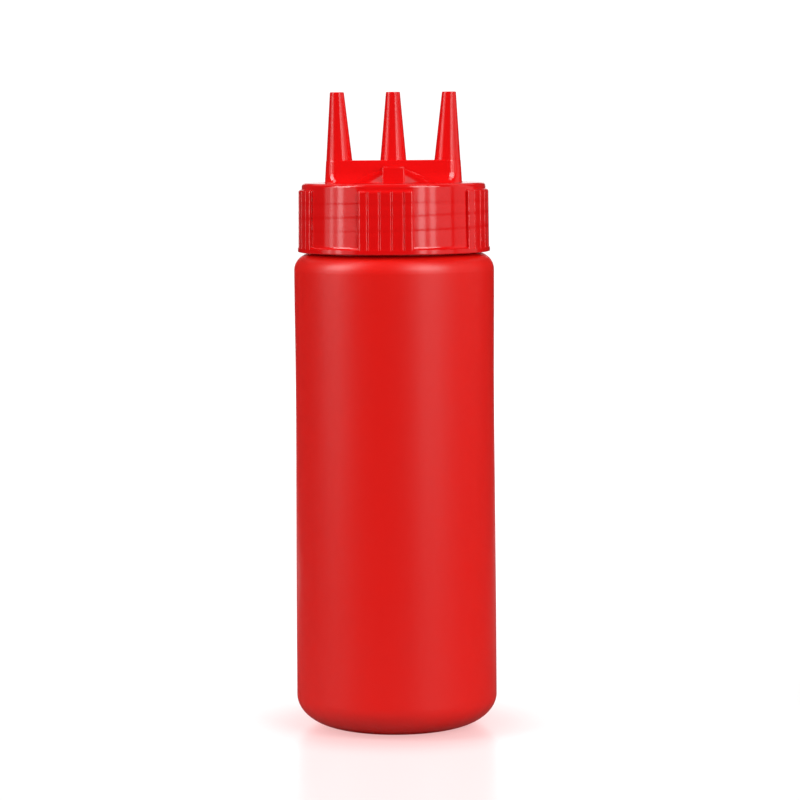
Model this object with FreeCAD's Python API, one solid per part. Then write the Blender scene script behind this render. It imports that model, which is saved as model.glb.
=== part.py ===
import FreeCAD, Part
import math
import os

V = FreeCAD.Vector

# A three-tip squeeze bottle: a blow-moulded bottle and the one-piece moulded cap screwed on it.
# Millimetres, +Z up, the bottle standing on z = 0 with its axis on Z.
# The row of nozzles runs along X, and -Y is the front.

# Bottle
bottle_height = 119.8        # base to the top of the shoulder
shoulder_radius_out = 25.15  # wall where the shoulder starts
heel_swell = 0.25            # how far the wall stands out past that just above the heel
wall_swell = [(32.0, 0.19), (60.0, 0.03), (92.0, -0.12)]  # the same at three heights between
heel_reach = 11.0            # how far the heel curves in
heel_height = 7.8
shoulder_round = 4.3
shoulder_flat = 0.25         # least flat left round the neck
foot_width = 2.0             # flat ring the bottle stands on
push_up = 1.8                # hollow of the base
pinch_length = 20.0          # bead left by the mould's pinch-off
pinch_width = 0.6
pinch_height = 0.35
neck_radius = 20.6
neck_round = 0.4

# Cap: skirt, roof and lip
thread_clearance = 0.4       # neck to skirt, where the thread runs
mouth_lead = 0.5             # chamfer at the skirt's open end
lip_gap = 0.3                # shoulder to lip
cap_height = 17.25
roof = 1.5
skirt_wall = 2.1             # at the roof
skirt_draft = 0.25           # how much wider the skirt is at its foot
roof_round = 0.9
lip_reach = 0.85             # how far the lip stands out
lip_band = 1.15              # straight part of the lip
lip_flare = 0.8              # height of the hollow curve above it
lip_round = 0.25

# Grips: raised pads on the skirt, each parted into ribs by narrow round-bottomed grooves
grip_count = 5
grip_span = 34.0             # degrees
grip_turn = -4.9             # degrees, front grip from the front
grip_proud = 0.8
grip_draft = 0.12            # how much prouder a grip is at its foot
grip_drop = 1.5              # roof to the grips' upper ends
grip_side_round = 0.7
grip_end_round = 0.75
grip_flat = 0.05             # least height left beside each of those
groove_count = 4
groove_pitch = 7.1           # degrees
groove_width = 0.75
groove_depth = 0.2
groove_reach = 50.0          # length of the groove cutter, well past both ends of a grip

# Boss, cross rib, web and nozzles on the roof
boss_radius = 11.2           # foot of the shallow cone round the middle nozzle
boss_rise = 5.45             # height of the cone's point, inside the middle nozzle
boss_foot_round = 2.0
cross_rib_width = 5.6
cross_rib_height = 4.1
cross_rib_round = 0.4
web_height = 5.65
web_margin = 0.05            # web over nozzle
web_round = 0.3
web_flare_height = 2.6       # the web's long faces sweep out below this
web_flare_radius = 3.6
web_flare_sections = 5
nozzle_length = 22.65
nozzle_tip_radius = 1.76
nozzle_taper = 5.12          # degrees, half angle
nozzle_spread = 13.4         # middle to outer nozzle, at the roof
nozzle_splay = 1.6           # degrees, the outer nozzles lean out
nozzle_count = 3
web_foot_round = 0.4         # fillet where the web leaves the roof and the boss
bore_tip_radius = 0.95
bore_taper = 3.6             # degrees, half angle
channel_wall = 1.4           # web over the channel inside
tip_round = 0.2

# Worked out from the above
heel_radius_out = shoulder_radius_out + heel_swell
shoulder_bend = min(shoulder_round, shoulder_radius_out - neck_radius - shoulder_flat)
cap_foot = bottle_height + lip_gap
cap_top = cap_foot + cap_height
ceiling = cap_top - roof
nozzle_top = cap_top + nozzle_length
cap_bore = neck_radius + thread_clearance
skirt_radius_top = cap_bore + skirt_wall
skirt_radius_low = skirt_radius_top + skirt_draft
lip_radius = skirt_radius_low + lip_reach
grip_end_bend = min(grip_end_round, grip_proud - grip_flat)
grip_side_bend = min(grip_side_round, grip_end_bend - grip_flat)
overlap = 0.5                # how far a lump reaches into what it grows from


def line(a, b):
    return Part.LineSegment(V(*a), V(*b)).toShape()


def arc(a, middle, b):
    return Part.Arc(V(*a), V(*middle), V(*b)).toShape()


def smooth(points):
    """A curve through points in the XZ plane that leaves and arrives straight up."""
    curve = Part.BSplineCurve()
    curve.interpolate(Points=[V(*point) for point in points], InitialTangent=V(0, 0, 1), FinalTangent=V(0, 0, 1))
    return curve.toShape()


def quarter(centre_r, centre_z, reach, height, start, end):
    """Part of an ellipse in the XZ plane, from one angle to another in degrees."""
    points = []
    for share in (0.0, 0.5, 1.0):
        angle = math.radians(start + (end - start) * share)
        points.append((centre_r + reach * math.cos(angle), 0, centre_z + height * math.sin(angle)))
    if abs(reach - height) < 1e-6:
        return arc(*points)
    wide = reach > height
    ellipse = Part.Ellipse()
    ellipse.Center = V(centre_r, 0, centre_z)
    ellipse.MajorRadius = max(reach, height)
    ellipse.MinorRadius = min(reach, height)
    ellipse.Axis = V(0, -1, 0)
    ellipse.XAxis = V(1, 0, 0) if wide else V(0, 0, 1)
    first = ellipse.parameter(V(*points[0]))
    last = ellipse.parameter(V(*points[2]))
    if last < first:
        last += 2 * math.pi
    return ellipse.toShape(first, last)


def revolve(edges, degrees=360.0):
    face = Part.Face(Part.Wire(edges))
    return face.revolve(V(0, 0, 0), V(0, 0, 1), degrees)


def dome_radius():
    """Radius of the sphere that hollows the base."""
    rim = heel_radius_out - heel_reach - foot_width
    return (rim ** 2 + push_up ** 2) / (2 * push_up)


def dome_arc(rim, drop=0.0):
    """The base's hollow, from the axis out to a rim radius, lowered by drop."""
    radius = dome_radius()
    points = []
    for reach in (0.0, rim / 2, rim):
        rise = push_up - radius + math.sqrt(radius ** 2 - reach ** 2)
        points.append((reach, 0, rise - drop))
    return points


def make_bottle():
    foot_out = heel_radius_out - heel_reach
    foot_in = foot_out - foot_width
    shoulder_start = bottle_height - shoulder_bend
    shoulder_in = shoulder_radius_out - shoulder_bend
    hollow = dome_arc(foot_in)
    hollow[-1] = (foot_in, 0, 0)
    outline = [
        arc(*hollow),
        line((foot_in, 0, 0), (foot_out, 0, 0)),
        quarter(foot_out, heel_height, heel_reach, heel_height, -90, 0),
        smooth([(heel_radius_out, 0, heel_height)]
               + [(shoulder_radius_out + swell, 0, height) for height, swell in wall_swell]
               + [(shoulder_radius_out, 0, shoulder_start)]),
        quarter(shoulder_in, shoulder_start, shoulder_bend, shoulder_bend, 0, 90),
        line((shoulder_in, 0, bottle_height), (neck_radius, 0, bottle_height)),
        line((neck_radius, 0, bottle_height), (neck_radius, 0, ceiling - neck_round)),
        quarter(neck_radius - neck_round, ceiling - neck_round, neck_round, neck_round, 0, 90),
        line((neck_radius - neck_round, 0, ceiling), (0, 0, ceiling)),
        line((0, 0, ceiling), (0, 0, push_up)),
    ]
    return revolve(outline).fuse(make_pinch_bead()).removeSplitter()


def make_pinch_bead():
    """The low bead across the hollow of the base."""
    reach = pinch_length / 2
    upper = dome_arc(reach, -overlap)
    lower = dome_arc(reach, pinch_height)
    disc = revolve([
        arc(*lower),
        line(lower[2], upper[2]),
        arc(*reversed(upper)),
        line(upper[0], lower[0]),
    ])
    slab = Part.makeBox(pinch_length, pinch_width, push_up + 1, V(-reach, -pinch_width / 2, 0))
    return disc.common(slab)


def skirt_radius(z):
    """Smooth wall of the skirt at a height, with its draft."""
    low = cap_foot + lip_band + lip_flare
    share = (cap_top - z) / (cap_top - low)
    return skirt_radius_top + (skirt_radius_low - skirt_radius_top) * share


def boss_slope():
    return math.atan2(boss_rise, boss_radius)


def make_shell():
    """The cap's outside without grips, web or nozzles, still solid: lip, skirt, roof and boss."""
    lip_top = cap_foot + lip_band
    flare_top = lip_top + lip_flare
    step = lip_radius - skirt_radius_low
    corner = skirt_radius(cap_top - roof_round)
    half = boss_slope() / 2
    reach = boss_foot_round * math.tan(half)
    boss_foot = [
        (boss_radius + reach, 0, cap_top),
        (boss_radius + reach - boss_foot_round * math.sin(half), 0,
         cap_top + boss_foot_round * (1 - math.cos(half))),
        (boss_radius - reach * math.cos(2 * half), 0, cap_top + reach * math.sin(2 * half)),
    ]
    return revolve([
        line((0, 0, cap_foot), (lip_radius - lip_round, 0, cap_foot)),
        quarter(lip_radius - lip_round, cap_foot + lip_round, lip_round, lip_round, -90, 0),
        line((lip_radius, 0, cap_foot + lip_round), (lip_radius, 0, lip_top)),
        arc((lip_radius, 0, lip_top),
            (lip_radius - step * math.sin(math.radians(45)), 0,
             flare_top - lip_flare * math.sin(math.radians(45))),
            (skirt_radius_low, 0, flare_top)),
        line((skirt_radius_low, 0, flare_top), (corner, 0, cap_top - roof_round)),
        quarter(corner - roof_round, cap_top - roof_round, roof_round, roof_round, 0, 90),
        line((corner - roof_round, 0, cap_top), boss_foot[0]),
        arc(*boss_foot),
        line(boss_foot[2], (0, 0, cap_top + boss_rise)),
        line((0, 0, cap_top + boss_rise), (0, 0, cap_foot)),
    ])


def make_grip():
    """One raised pad, at the front, with rounded edges and its grooves cut."""
    foot = cap_foot + lip_round
    end = cap_top - grip_drop
    inside = skirt_radius_top - 2 * overlap
    top_out = skirt_radius(end) + grip_proud
    foot_out = top_out + grip_draft
    shoulder = end - grip_end_bend
    pad = revolve([
        line((inside, 0, foot), (foot_out, 0, foot)),
        line((foot_out, 0, foot), (top_out, 0, shoulder)),
        quarter(top_out - grip_end_bend, shoulder, grip_end_bend, grip_end_bend, 0, 90),
        line((top_out - grip_end_bend, 0, end), (inside, 0, end)),
        line((inside, 0, end), (inside, 0, foot)),
    ], grip_span)
    sides = []
    for edge in pad.Edges:
        middle = edge.CenterOfMass
        turn = math.degrees(math.atan2(middle.y, middle.x))
        on_side = min(abs(turn), abs(turn - grip_span)) < 0.01
        outer = math.hypot(middle.x, middle.y) > top_out - grip_end_bend
        if on_side and outer:
            sides.append(edge)
    pad = pad.makeFillet(grip_side_bend, sides)
    groove_radius = (groove_width ** 2 / 4 + groove_depth ** 2) / (2 * groove_depth)
    lean_in = math.degrees(math.atan2(foot_out - top_out, shoulder - foot))
    for place in range(groove_count):
        cutter = Part.makeCylinder(groove_radius, groove_reach, V(0, 0, -groove_reach / 2))
        cutter.rotate(V(0, 0, 0), V(0, 1, 0), -lean_in)
        cutter.translate(V(top_out - groove_depth + groove_radius, 0, shoulder))
        turn = grip_span / 2 + (place - (groove_count - 1) / 2) * groove_pitch
        cutter.rotate(V(0, 0, 0), V(0, 0, 1), turn)
        pad = pad.cut(cutter)
    pad.rotate(V(0, 0, 0), V(0, 0, 1), -90 - grip_span / 2)
    return pad


def make_grips():
    pattern = make_grip()
    grips = []
    for place in range(grip_count):
        grip = pattern.copy()
        grip.rotate(V(0, 0, 0), V(0, 0, 1), grip_turn + place * 360.0 / grip_count)
        grips.append(grip)
    return grips


def nozzle_places():
    """Where each nozzle leaves the roof along X, and how far it leans, in degrees."""
    middle = (nozzle_count - 1) / 2
    return [((i - middle) * nozzle_spread, (i - middle) * nozzle_splay) for i in range(nozzle_count)]


def nozzle_radius(z):
    return nozzle_tip_radius + (nozzle_top - z) * math.tan(math.radians(nozzle_taper))


def lean(shape, x, angle):
    """Lean a cone that stands on the roof at a place along X, outwards by an angle."""
    shape.translate(V(x, 0, 0))
    shape.rotate(V(x, 0, cap_top), V(0, 1, 0), angle)
    return shape


def cone(low, high, tip_z, tip_radius, taper):
    slope = math.tan(math.radians(taper))
    low_radius = tip_radius + (tip_z - low) * slope
    high_radius = tip_radius + (tip_z - high) * slope
    return Part.makeCone(low_radius, high_radius, high - low, V(0, 0, low))


def make_nozzles():
    """The three tapered tubes from outside, cut level at their tips."""
    trim = Part.makeBox(4 * lip_radius, 4 * lip_radius, 10, V(-2 * lip_radius, -2 * lip_radius, nozzle_top))
    nozzles = []
    for x, angle in nozzle_places():
        tube = cone(cap_top - overlap, nozzle_top + 1, nozzle_top, nozzle_tip_radius, nozzle_taper)
        tube = lean(tube, x, angle).cut(trim)
        rim = [edge for edge in tube.Edges if edge.BoundBox.ZMin > nozzle_top - 0.01]
        nozzles.append(tube.makeFillet(tip_round, rim))
    return nozzles


def stadium(z, inset, bulge=0.0):
    """The web's outline at a height: a long round-ended loop about the row of nozzles.
    The bulge moves the long sides out, and turns the round ends into half ellipses."""
    x, angle = nozzle_places()[-1]
    reach = x + (z - cap_top) * math.tan(math.radians(angle))
    radius = nozzle_radius(z) + web_margin - inset
    wide = radius + bulge
    ends = []
    for side in (1, -1):
        if bulge:
            ellipse = Part.Ellipse(V(side * reach, 0, z), wide, radius)
            ellipse.XAxis = V(0, -side, 0)
            ends.append(ellipse.toShape(0, math.pi))
        else:
            ends.append(arc((side * reach, -side * radius, z),
                            (side * (reach + radius), 0, z),
                            (side * reach, side * radius, z)))
    return Part.Wire([
        line((-reach, -wide, z), (reach, -wide, z)),
        ends[0],
        line((reach, wide, z), (-reach, wide, z)),
        ends[1],
    ])


def web_loft(low, high, inset=0.0):
    return Part.makeLoft([stadium(low, inset), stadium(high, inset)], True, True)


def make_web():
    """The wall that joins the nozzles, its upper edge rounded and its long faces flared at the foot."""
    join = cap_top + web_flare_height
    high = cap_top + web_height
    upper = web_loft(join, high)
    upper = upper.makeFillet(web_round, [edge for edge in upper.Edges if edge.BoundBox.ZMin > high - 0.01])
    outlines = []
    for step in range(web_flare_sections):
        drop = (web_flare_height + overlap) * (1 - step / (web_flare_sections - 1))
        bulge = web_flare_radius - math.sqrt(web_flare_radius ** 2 - drop ** 2)
        outlines.append(stadium(join - drop, 0.0, bulge))
    return Part.makeLoft(outlines, True, False).fuse(upper)


def make_cross_rib():
    """The short rib across the boss, front to back, with ends on the boss's rim."""
    low = cap_top - overlap
    height = cross_rib_height + overlap
    slab = Part.makeBox(cross_rib_width, 2 * boss_radius, height,
                        V(-cross_rib_width / 2, -boss_radius, low))
    rib = slab.common(Part.makeCylinder(boss_radius, height, V(0, 0, low)))
    return rib.makeFillet(cross_rib_round, [edge for edge in rib.Edges if edge.BoundBox.ZMax > low + 0.01])


def make_core():
    """Everything the mould's core leaves open: skirt, boss, web channel and three bores."""
    well = revolve([
        line((0, 0, cap_foot - 1), (cap_bore + mouth_lead, 0, cap_foot - 1)),
        line((cap_bore + mouth_lead, 0, cap_foot - 1), (cap_bore + mouth_lead, 0, cap_foot)),
        line((cap_bore + mouth_lead, 0, cap_foot), (cap_bore, 0, cap_foot + mouth_lead)),
        line((cap_bore, 0, cap_foot + mouth_lead), (cap_bore, 0, ceiling)),
        line((cap_bore, 0, ceiling), (0, 0, ceiling)),
        line((0, 0, ceiling), (0, 0, cap_foot - 1)),
    ])
    low = ceiling - overlap
    point = cap_top + boss_rise - roof / math.cos(boss_slope())
    reach = (point - low) / math.tan(boss_slope())
    hollows = [
        Part.makeCone(reach, 0, point - low, V(0, 0, low)),
        web_loft(low, cap_top + web_height - channel_wall, channel_wall),
    ]
    for x, angle in nozzle_places():
        pin = cone(low, nozzle_top + 1, nozzle_top, bore_tip_radius, bore_taper)
        hollows.append(lean(pin, x, angle))
    return well.multiFuse(hollows)


def round_foot(body):
    """Fillet the closed loop where the web leaves the roof and the boss."""
    loop = []
    for edge in body.Edges:
        box = edge.BoundBox
        low = box.ZMin > cap_top - 0.01 and box.ZMax < cap_top + cross_rib_height
        upright = box.ZLength > 1 and box.XLength < 1
        if low and not upright and edge.Curve.TypeId == "Part::GeomBSplineCurve":
            loop.append(edge)
    return body.makeFillet(web_foot_round, loop)


def make_cap():
    body = round_foot(make_shell().fuse(make_web()).removeSplitter())
    body = body.multiFuse([make_cross_rib()] + make_nozzles()).removeSplitter()
    return body.multiFuse(make_grips()).cut(make_core()).removeSplitter()


def main():
    os.makedirs("parts", exist_ok=True)
    parts = {"bottle": make_bottle(), "nozzle_cap": make_cap()}
    for name, shape in parts.items():
        solid = shape.Solids[0] if len(shape.Solids) == 1 else shape
        print(name, "solids", len(shape.Solids), "valid", shape.isValid(),
              "cm3", round(shape.Volume / 1000, 2), "faces", len(shape.Faces))
        solid.exportStep("parts/" + name + ".step")


main()
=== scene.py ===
import bpy
import math
from mathutils import Matrix, Vector

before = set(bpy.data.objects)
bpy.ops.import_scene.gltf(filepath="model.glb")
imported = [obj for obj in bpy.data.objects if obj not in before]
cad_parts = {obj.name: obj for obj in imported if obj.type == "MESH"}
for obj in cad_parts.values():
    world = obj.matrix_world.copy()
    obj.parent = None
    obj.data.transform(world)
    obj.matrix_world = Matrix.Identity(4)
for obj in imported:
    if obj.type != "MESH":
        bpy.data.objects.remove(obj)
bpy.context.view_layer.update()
millimetre = 0.001
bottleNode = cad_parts["bottle"]
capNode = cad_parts["nozzle_cap"]
print("frame loaded")


# helpers for node trees

def addNode(tree, kind, place, **values):
    node = tree.nodes.new(kind)
    node.location = place
    for name, value in values.items():
        setattr(node, name, value)
    return node


def plug(tree, value, socket):
    if isinstance(value, bpy.types.NodeSocket):
        tree.links.new(value, socket)
    else:
        socket.default_value = value


def calc(tree, operation, first, second, place, third=None):
    node = addNode(tree, "ShaderNodeMath", place, operation=operation)
    plug(tree, first, node.inputs[0])
    plug(tree, second, node.inputs[1])
    if third is not None:
        plug(tree, third, node.inputs[2])
    return node.outputs[0]


def smoothStep(tree, value, low, high, outLow, outHigh, place):
    node = addNode(tree, "ShaderNodeMapRange", place, interpolation_type="SMOOTHSTEP")
    for name, part in (("Value", value), ("From Min", low), ("From Max", high),
                       ("To Min", outLow), ("To Max", outHigh)):
        plug(tree, part, node.inputs[name])
    return node.outputs["Result"]


def blend(tree, factor, first, second, place):
    mix = addNode(tree, "ShaderNodeMix", place, data_type="RGBA")
    for name, value in (("Factor", factor), ("A", first), ("B", second)):
        plug(tree, value, mix.inputs[name])
    return mix.outputs["Result"]


def startGroup(name, inputs, outputs):
    group = bpy.data.node_groups.new(name, "ShaderNodeTree")
    for label, value in inputs.items():
        socket = group.interface.new_socket(label, in_out="INPUT", socket_type="NodeSocketFloat")
        socket.default_value = value
    for label in outputs:
        group.interface.new_socket(label, in_out="OUTPUT", socket_type="NodeSocketFloat")
    entry = addNode(group, "NodeGroupInput", (-1000, 0))
    result = addNode(group, "NodeGroupOutput", (800, 0))
    return group, entry.outputs, result.inputs


def placeGroup(tree, group, place, values):
    node = addNode(tree, "ShaderNodeGroup", place, node_tree=group)
    for name, value in values.items():
        plug(tree, value, node.inputs[name])
    return node.outputs


# shared effects, each a group used by both plastics

def makeSkinGroup():
    # uneven skin of moulded plastic: slow waves, fine grain and patches of duller finish
    group, given, out = startGroup("plasticSkin", {
        "Wave Size": 30.0, "Wave Height": 0.03, "Wave Stretch": 0.4,
        "Grain Size": 1.0, "Grain Height": 0.002,
        "Dull": 0.35, "Dull Spread": 0.05, "Patch Size": 12.0,
    }, ("Height", "Roughness", "Shade"))
    spot = addNode(group, "ShaderNodeTexCoord", (-1000, -300)).outputs["Object"]
    inMillimetres = addNode(group, "ShaderNodeVectorMath", (-800, -300), operation="SCALE")
    group.links.new(spot, inMillimetres.inputs[0])
    inMillimetres.inputs["Scale"].default_value = 1.0 / millimetre
    point = inMillimetres.outputs[0]

    # waves are longer up and down than round the wall
    squash = addNode(group, "ShaderNodeCombineXYZ", (-800, -100))
    squash.inputs[0].default_value = 1.0
    squash.inputs[1].default_value = 1.0
    group.links.new(given["Wave Stretch"], squash.inputs[2])
    tall = addNode(group, "ShaderNodeVectorMath", (-620, -100), operation="MULTIPLY")
    group.links.new(point, tall.inputs[0])
    group.links.new(squash.outputs[0], tall.inputs[1])

    def noise(vector, size, detail, place):
        node = addNode(group, "ShaderNodeTexNoise", place)
        group.links.new(vector, node.inputs["Vector"])
        group.links.new(calc(group, "DIVIDE", 1.0, size, (place[0] - 180, place[1] - 60)),
                        node.inputs["Scale"])
        node.inputs["Detail"].default_value = detail
        return node.outputs["Fac"]

    wave = noise(tall.outputs[0], given["Wave Size"], 1.0, (-260, 200))
    grain = noise(point, given["Grain Size"], 3.0, (-260, -60))
    patch = noise(point, given["Patch Size"], 2.0, (-260, -320))
    waveHeight = calc(group, "MULTIPLY", wave, given["Wave Height"], (0, 200))
    height = calc(group, "MULTIPLY_ADD", grain, given["Grain Height"], (200, 100), waveHeight)
    group.links.new(calc(group, "MULTIPLY", height, millimetre, (400, 100)), out["Height"])
    spread = calc(group, "MULTIPLY", calc(group, "SUBTRACT", patch, 0.5, (0, -300)),
                  given["Dull Spread"], (200, -300))
    group.links.new(calc(group, "ADD", spread, given["Dull"], (400, -300)), out["Roughness"])
    group.links.new(patch, out["Shade"])
    return group


def makeLineGroup():
    # a soft raised or sunk line: 1 on the line, 0 beyond its half width
    group, given, out = startGroup("softLine", {"Distance": 0.0, "Half Width": 1.0, "Soft": 1.0},
                                   ("Line",))
    away = calc(group, "ABSOLUTE", given["Distance"], 0.0, (-700, 0))
    outer = calc(group, "ADD", given["Half Width"], given["Soft"], (-700, -200))
    group.links.new(smoothStep(group, away, given["Half Width"], outer, 1.0, 0.0, (-300, 0)),
                    out["Line"])
    return group


skinGroup = makeSkinGroup()
lineGroup = makeLineGroup()
print("shared effects made")


def startMaterial(name, look):
    material = bpy.data.materials.new(name)
    material.use_nodes = True
    tree = material.node_tree
    tree.nodes.clear()
    shader = addNode(tree, "ShaderNodeBsdfPrincipled", (600, 0))
    output = addNode(tree, "ShaderNodeOutputMaterial", (900, 0))
    tree.links.new(shader.outputs[0], output.inputs["Surface"])
    shader.inputs["IOR"].default_value = look["ior"]
    shader.inputs["Specular IOR Level"].default_value = look["specular"]
    return material, tree, shader


def positionParts(tree):
    spot = addNode(tree, "ShaderNodeTexCoord", (-1500, -400)).outputs["Object"]
    parts = addNode(tree, "ShaderNodeSeparateXYZ", (-1300, -400))
    tree.links.new(spot, parts.inputs[0])
    return parts.outputs


def colourBetween(tree, look, factor, shader):
    mixed = blend(tree, factor, (*look["color"], 1.0), (*look["colorDeep"], 1.0), (300, 200))
    tree.links.new(mixed, shader.inputs["Base Color"])


def addBump(tree, height, shader):
    bump = addNode(tree, "ShaderNodeBump", (300, -300))
    bump.inputs["Strength"].default_value = 1.0
    bump.inputs["Distance"].default_value = 1.0
    tree.links.new(height, bump.inputs["Height"])
    tree.links.new(bump.outputs[0], shader.inputs["Normal"])


def dress(node, material):
    node.data.materials.clear()
    node.data.materials.append(material)


# the blown bottle: satin red polyethylene; the faint parting line down each side is a guess

bottleLook = {
    "color": (0.765, 0.0065, 0.0030),
    "colorDeep": (0.735, 0.0055, 0.0025),
    "ior": 1.51,
    "specular": 0.42,
    "skin": {"Wave Size": 26.0, "Wave Height": 0.05, "Wave Stretch": 0.30,
             "Grain Size": 0.55, "Grain Height": 0.0016,
             "Dull": 0.37, "Dull Spread": 0.06, "Patch Size": 15.0},
    "softness": 0.5,
    "softReach": (0.008, 0.0015, 0.0010),
    "seamHalfWidth": 0.00008,
    "seamSoft": 0.00022,
    "seamHeight": 0.00003,
}


def makeBottleMaterial():
    look = bottleLook
    material, tree, shader = startMaterial("satinRedPolyethylene", look)
    x, y, z = positionParts(tree)
    skin = placeGroup(tree, skinGroup, (-700, 200), look["skin"])
    seam = placeGroup(tree, lineGroup, (-700, -200), {
        "Distance": y, "Half Width": look["seamHalfWidth"], "Soft": look["seamSoft"]})
    height = calc(tree, "MULTIPLY_ADD", seam["Line"], look["seamHeight"], (0, -300), skin["Height"])
    addBump(tree, height, shader)
    colourBetween(tree, look, skin["Shade"], shader)
    tree.links.new(skin["Roughness"], shader.inputs["Roughness"])
    # light that enters the soft wall leaves it again a few millimetres on
    shader.inputs["Subsurface Weight"].default_value = look["softness"]
    shader.inputs["Subsurface Radius"].default_value = look["softReach"]
    shader.inputs["Subsurface Scale"].default_value = 1.0
    return material


dress(bottleNode, makeBottleMaterial())
print("bottle dressed")


# the moulded cap: glossier, with shallow sinks outside the screw thread

capLook = {
    "color": (0.745, 0.0040, 0.0042),
    "colorDeep": (0.715, 0.0032, 0.0036),
    "ior": 1.50,
    "specular": 0.5,
    "skin": {"Wave Size": 9.0, "Wave Height": 0.006, "Wave Stretch": 0.25,
             "Grain Size": 0.4, "Grain Height": 0.0006,
             "Dull": 0.125, "Dull Spread": 0.03, "Patch Size": 8.0},
    "threadPitch": 0.00355,
    "threadHeightAtBack": 0.12600,
    "sinkHalfWidth": 0.0003,
    "sinkSoft": 0.0011,
    "sinkDepth": 0.000033,
    "sinkLow": 0.1245,
    "sinkHigh": 0.1336,
    "sinkFade": 0.0014,
}


def makeCapMaterial():
    look = capLook
    material, tree, shader = startMaterial("glossRedPlastic", look)
    x, y, z = positionParts(tree)
    skin = placeGroup(tree, skinGroup, (-700, 200), look["skin"])
    # height above the nearest turn of a right-hand helix, from - half to + half a pitch
    turn = calc(tree, "DIVIDE", calc(tree, "ARCTAN2", y, x, (-1100, -300)), math.tau, (-900, -300))
    climb = calc(tree, "MULTIPLY_ADD", turn, -look["threadPitch"], (-700, -300), z)
    start = calc(tree, "SUBTRACT", climb, look["threadHeightAtBack"], (-560, -300))
    fromTurn = calc(tree, "WRAP", start, look["threadPitch"] / 2, (-400, -300),
                    -look["threadPitch"] / 2)
    sink = placeGroup(tree, lineGroup, (-200, -300), {
        "Distance": fromTurn, "Half Width": look["sinkHalfWidth"], "Soft": look["sinkSoft"]})
    low, high, fade = look["sinkLow"], look["sinkHigh"], look["sinkFade"]
    aboveStart = smoothStep(tree, z, low, low + fade, 0.0, 1.0, (-400, -550))
    belowEnd = smoothStep(tree, z, high - fade, high, 1.0, 0.0, (-400, -750))
    span = calc(tree, "MULTIPLY", aboveStart, belowEnd, (-200, -600))
    depth = calc(tree, "MULTIPLY", calc(tree, "MULTIPLY", sink["Line"], span, (0, -500)),
                 -look["sinkDepth"], (150, -500))
    addBump(tree, calc(tree, "ADD", depth, skin["Height"], (150, -300)), shader)
    colourBetween(tree, look, skin["Shade"], shader)
    tree.links.new(skin["Roughness"], shader.inputs["Roughness"])
    return material


dress(capNode, makeCapMaterial())
print("cap dressed")


# studio: a tapered sheet of white paper that runs back and up, on a grey table

studio = {
    "paperFront": -0.098,
    "paperFrontHalfWidth": 0.104,
    "paperBack": 1.10,
    "paperBackHalfWidth": 0.262,
    "paperFlat": (0.1, 0.4),
    "paperBend": 0.12,
    "paperBendSteps": 12,
    "paperRise": 0.42,
    "paperColor": (0.22, 0.22, 0.22, 1.0),
    "paperBounce": (0.42, 0.42, 0.42, 1.0),
    # painted pink reflection of the red bottle and painted shade in the paper's glow round its foot,
    # fading out between the two radii below
    "paintedPinkReflectionAtFoot": (0.80, 0.45, 0.45, 1.0),
    "glowOpen": (0.70, 0.70, 0.70, 1.0),
    "glowFar": (0.96, 0.96, 0.96, 1.0),
    "paintedReflectionInner": 0.019,
    "paintedReflectionOuter": 0.044,
    "farStart": 0.05,
    "farEnd": 0.45,
    "paperRoughness": 0.30,
    "tableReach": 3.0,
    "tableDrop": 0.0006,
    "tableColor": (0.12, 0.12, 0.12, 1.0),
    "tableRoughness": 0.7,
    "finish": {"ior": 1.45, "specular": 0.5},
    "worldColor": (0.05, 0.05, 0.05, 1.0),
}


def addMesh(name, points, faces, material, smooth=False):
    mesh = bpy.data.meshes.new(name)
    mesh.from_pydata(points, [], faces)
    for face in mesh.polygons:
        face.use_smooth = smooth
    mesh.materials.append(material)
    piece = bpy.data.objects.new(name, mesh)
    bpy.context.scene.collection.objects.link(piece)
    return piece


def stageMaterial(name, roughness):
    material, tree, shader = startMaterial(name, studio["finish"])
    shader.inputs["Roughness"].default_value = roughness
    return material, tree, shader


def makePaperMaterial():
    # the paper glows to the camera and in reflections; close to the bottle's foot the glow holds a
    # painted pink reflection of the red bottle with painted shade, while in reflections the part by the
    # bottle shows by lamp light alone
    material, tree, shader = stageMaterial("whitePaper", studio["paperRoughness"])
    x, y, z = positionParts(tree)
    squares = calc(tree, "MULTIPLY_ADD", x, x, (-1100, -700),
                   calc(tree, "MULTIPLY", y, y, (-1300, -700)))
    fromAxis = calc(tree, "SQRT", squares, 0.0, (-900, -700))
    pastPaintedReflection = smoothStep(tree, fromAxis, studio["paintedReflectionInner"], studio["paintedReflectionOuter"],
                          0.0, 1.0, (-700, -700))
    farness = smoothStep(tree, y, studio["farStart"], studio["farEnd"], 0.0, 1.0, (-700, -400))
    # painted pink reflection and painted shade of the bottle on the paper, fading out between the two
    # radii from its axis
    near = blend(tree, pastPaintedReflection, studio["paintedPinkReflectionAtFoot"], studio["glowOpen"], (-400, -700))
    glow = blend(tree, farness, near, studio["glowFar"], (-150, -600))
    tree.links.new(glow, shader.inputs["Emission Color"])
    path = addNode(tree, "ShaderNodeLightPath", (-700, 0))
    # paler to the light that it bounces onto the bottle than to the eye, where its glow is added
    paper = blend(tree, path.outputs["Is Diffuse Ray"], studio["paperColor"], studio["paperBounce"],
                  (-250, 200))
    tree.links.new(paper, shader.inputs["Base Color"])
    mirrored = calc(tree, "ADD", path.outputs["Is Glossy Ray"], path.outputs["Is Transmission Ray"],
                    (-450, -100))
    seen = calc(tree, "MULTIPLY_ADD", mirrored, farness, (-250, -100), path.outputs["Is Camera Ray"])
    tree.links.new(seen, shader.inputs["Emission Strength"])
    return material


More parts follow.
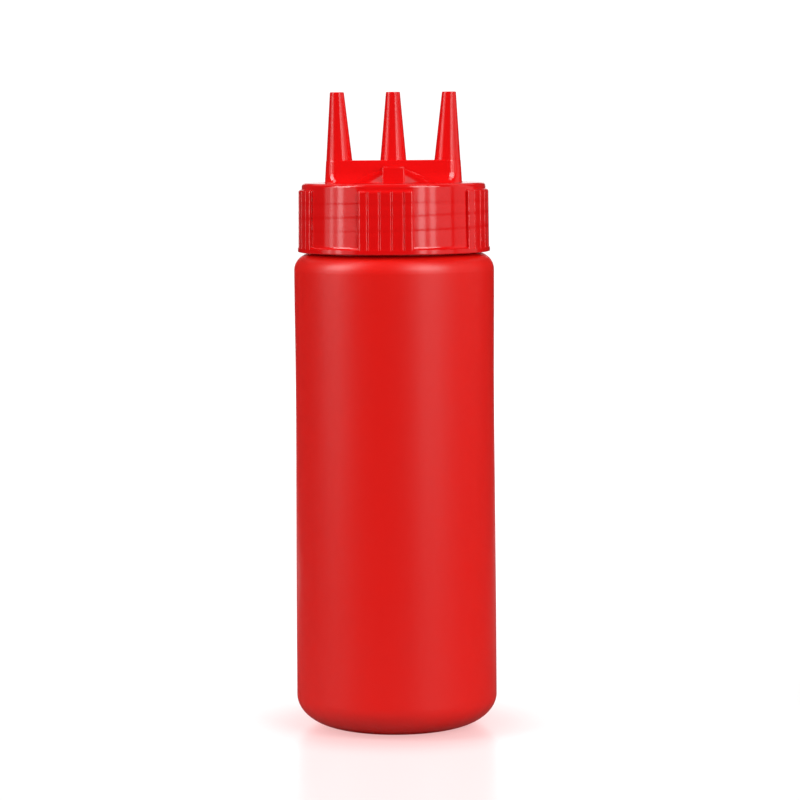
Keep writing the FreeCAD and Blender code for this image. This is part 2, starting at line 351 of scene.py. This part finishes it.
def makeStudio():
    front, back, bend = studio["paperFront"], studio["paperBack"], studio["paperBend"]
    line = [(front, 0.0)] + [(y, 0.0) for y in studio["paperFlat"]]
    steps = studio["paperBendSteps"]
    for step in range(steps + 1):
        angle = math.pi / 2 * step / steps
        line.append((back - bend + bend * math.sin(angle), bend * (1 - math.cos(angle))))
    line.append((back, studio["paperRise"]))
    points = []
    for y, z in line:
        share = (y - front) / (back - front)
        half = studio["paperFrontHalfWidth"] * (1 - share) + studio["paperBackHalfWidth"] * share
        points += [(-half, y, z), (half, y, z)]
    faces = [(2 * i, 2 * i + 1, 2 * i + 3, 2 * i + 2) for i in range(len(line) - 1)]
    addMesh("paper", points, faces, makePaperMaterial(), smooth=True)
    reach, drop = studio["tableReach"], studio["tableDrop"]
    corners = [(-reach, -reach, -drop), (reach, -reach, -drop),
               (reach, reach, -drop), (-reach, reach, -drop)]
    tableMaterial, _, shader = stageMaterial("greyTable", studio["tableRoughness"])
    shader.inputs["Base Color"].default_value = studio["tableColor"]
    addMesh("table", corners, [(0, 1, 2, 3)], tableMaterial)
    world = bpy.data.worlds.new("studioRoom")
    world.use_nodes = True
    world.node_tree.nodes["Background"].inputs["Color"].default_value = studio["worldColor"]
    bpy.context.scene.world = world


makeStudio()
print("studio made")


# lamps: azimuth in degrees from the front towards +X, lengths in metres; the low ones stand upright

lampAim = Vector((0.0, 0.0, 0.08))
uprightBelow = 0.1
lamps = {
    "leftOuterStrip": {
        "azimuth": -82.3, "distance": 0.90, "low": 0.06, "high": 0.40, "width": 0.075, "radiance": 2.1},
    "leftInnerStrip": {
        "azimuth": -68.6, "distance": 0.90, "low": 0.06, "high": 0.40, "width": 0.115, "radiance": 3.6},
    "leftPanel": {
        "azimuth": -71.0, "distance": 0.96, "low": 0.06, "high": 0.40, "width": 0.80, "radiance": 0.95},
    "leftMiddle": {
        "azimuth": -72.0, "distance": 0.88, "low": 0.40, "high": 0.85, "width": 0.45, "radiance": 9.4},
    "leftTop": {
        "azimuth": -72.0, "distance": 0.80, "low": 0.85, "high": 1.40, "width": 0.34, "radiance": 4.6},
    "rightInnerStrip": {
        "azimuth": 34.5, "distance": 0.90, "low": 0.06, "high": 0.40, "width": 0.12, "radiance": 3.7},
    "rightOuterStrip": {
        "azimuth": 48.5, "distance": 0.90, "low": 0.06, "high": 0.40, "width": 0.115, "radiance": 3.0},
    "rightPanel": {
        "azimuth": 50.0, "distance": 0.96, "low": 0.06, "high": 0.40, "width": 0.90, "radiance": 0.8},
    "rightMiddle": {
        "azimuth": 42.0, "distance": 0.88, "low": 0.40, "high": 0.85, "width": 0.60, "radiance": 8.6},
    "rightTop": {
        "azimuth": 42.0, "distance": 0.80, "low": 0.85, "high": 1.40, "width": 0.36, "radiance": 4.6},
    "rightSide": {
        "azimuth": 98.0, "distance": 0.90, "low": 0.06, "high": 0.90, "width": 0.60, "radiance": 0.5},
    "backTop": {
        "azimuth": 180.0, "distance": 0.80, "low": 0.70, "high": 1.50, "width": 2.00, "radiance": 0.45},
}


def addLamp(name, plan):
    turn = math.radians(plan["azimuth"])
    centre = Vector((plan["distance"] * math.sin(turn), -plan["distance"] * math.cos(turn),
                     (plan["low"] + plan["high"]) / 2))
    light = bpy.data.lights.new(name, "AREA")
    light.shape = "RECTANGLE"
    light.size = plan["width"]
    light.size_y = plan["high"] - plan["low"]
    light.energy = plan["radiance"] * math.pi * light.size * light.size_y
    lamp = bpy.data.objects.new(name, light)
    aim = lampAim.copy()
    if plan["low"] < uprightBelow:
        aim.z = centre.z
    facing = (centre - aim).to_track_quat("Z", "Y").to_matrix().to_4x4()
    lamp.matrix_world = Matrix.Translation(centre) @ facing
    bpy.context.scene.collection.objects.link(lamp)


for lampName, lampPlan in lamps.items():
    addLamp(lampName, lampPlan)
print("lamps placed")


# camera at the front, a little below the tips

cameraPlan = {
    "distance": 0.760,
    "height": 0.151,
    "lens": 135.945,
    "pitch": 5.146,
    "yaw": -0.095,
    "roll": -0.39,
    "clip": 0.01,
}


def addCamera():
    camera = bpy.data.objects.new("camera", bpy.data.cameras.new("camera"))
    camera.data.lens = cameraPlan["lens"]
    camera.data.clip_start = cameraPlan["clip"]
    turn = (Matrix.Rotation(math.radians(cameraPlan["yaw"]), 4, "Z")
            @ Matrix.Rotation(math.radians(90.0 - cameraPlan["pitch"]), 4, "X")
            @ Matrix.Rotation(math.radians(cameraPlan["roll"]), 4, "Z"))
    camera.matrix_world = Matrix.Translation((0.0, -cameraPlan["distance"], cameraPlan["height"])) @ turn
    bpy.context.scene.collection.objects.link(camera)
    bpy.context.scene.camera = camera


addCamera()
bpy.context.scene.view_settings.view_transform = "Standard"
print("camera placed")
